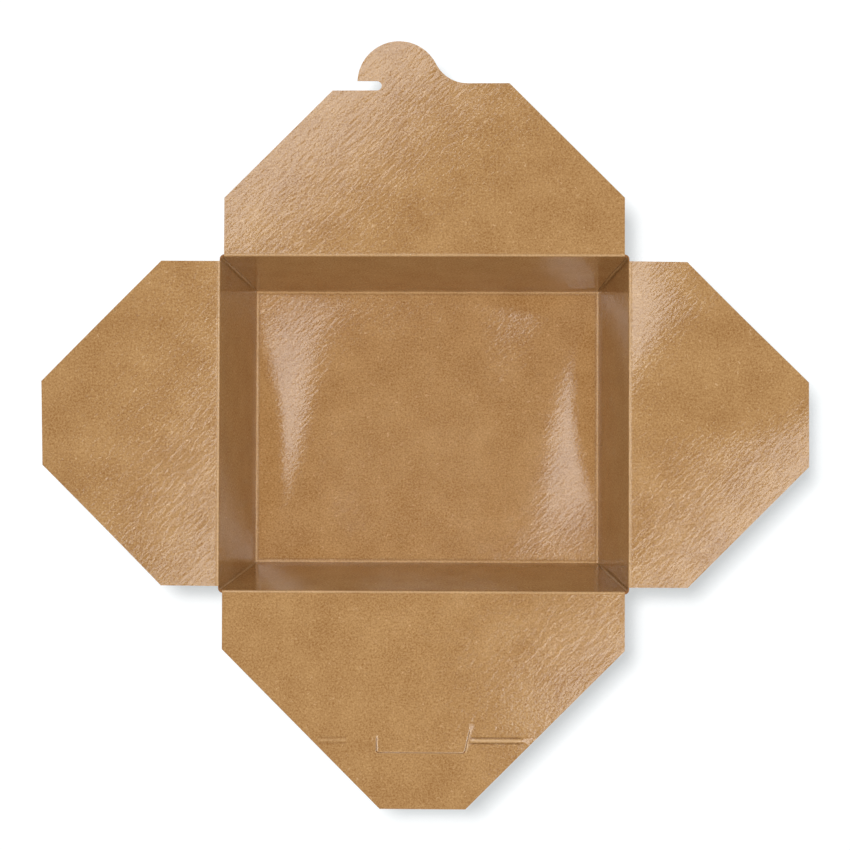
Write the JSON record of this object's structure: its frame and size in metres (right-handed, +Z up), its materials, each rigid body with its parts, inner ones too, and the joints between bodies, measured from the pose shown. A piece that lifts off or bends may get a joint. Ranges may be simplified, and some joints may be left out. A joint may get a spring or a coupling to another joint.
{
  "type": "takeaway box",
  "caption": "Folding kraft paperboard takeaway food box with glued web corners, hinged lid flaps and a hook that locks in a slit, standing open.",
  "frame": {"origin": "middle of the underside of the base", "axes": "+Z up out of the open box, +Y towards the flap with the hook, +X along the long side"},
  "size_m": [0.3214, 0.3211, 0.0645],
  "materials": {
    "kraft_board": "satin"
  },
  "bodies": {
    "tray": {"tray": "kraft_board"},
    "left_flap": {"left_flap": "kraft_board"},
    "right_flap": {"right_flap": "kraft_board"},
    "front_flap": {"front_flap": "kraft_board"},
    "back_flap": {"back_flap": "kraft_board"}
  },
  "joints": [
    {"name": "left_fold", "type": "hinge", "parent": "tray", "child": "left_flap", "pos_m": [-0.08582, 0, 0.06274], "axis": [0, 1, 0], "range_deg": [-50, 179.9]},
    {"name": "right_fold", "type": "hinge", "parent": "tray", "child": "right_flap", "pos_m": [0.08582, 0, 0.06274], "axis": [0, -1, 0], "range_deg": [-50, 179.9]},
    {"name": "front_fold", "type": "hinge", "parent": "tray", "child": "front_flap", "pos_m": [0, -0.07003, 0.0635], "axis": [-1, 0, 0], "range_deg": [-40, 179.9]},
    {"name": "back_fold", "type": "hinge", "parent": "tray", "child": "back_flap", "pos_m": [0, 0.07015, 0.06426], "axis": [1, 0, 0], "range_deg": [-40, 179.9]}
  ]
}
